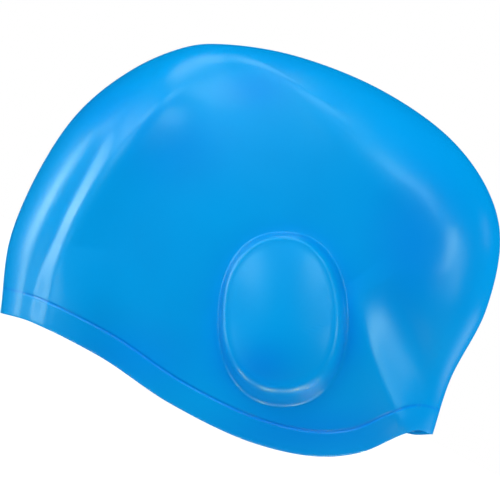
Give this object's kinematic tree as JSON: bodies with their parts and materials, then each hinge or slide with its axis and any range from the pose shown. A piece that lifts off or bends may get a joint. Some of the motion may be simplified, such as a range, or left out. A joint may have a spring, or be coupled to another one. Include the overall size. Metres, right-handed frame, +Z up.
{
  "type": "swim cap",
  "caption": "Silicone swim cap with a domed crown, a thicker rim band and a raised ear pocket on each side.",
  "frame": {"origin": "middle of the bounding box in X and Y, on the plane that the cap's rim rests on", "axes": "+X towards the back of the head, -X towards the forehead, +Y towards the far ear, +Z up; the cap stands on the front of its rim and its two ear lobes, mouth down"},
  "size_m": [0.212, 0.1106, 0.1684],
  "materials": {
    "silicone": "satin moulded silicone, bright blue"
  },
  "bodies": {
    "root": {"cap_shell": "silicone"}
  },
  "joints": []
}
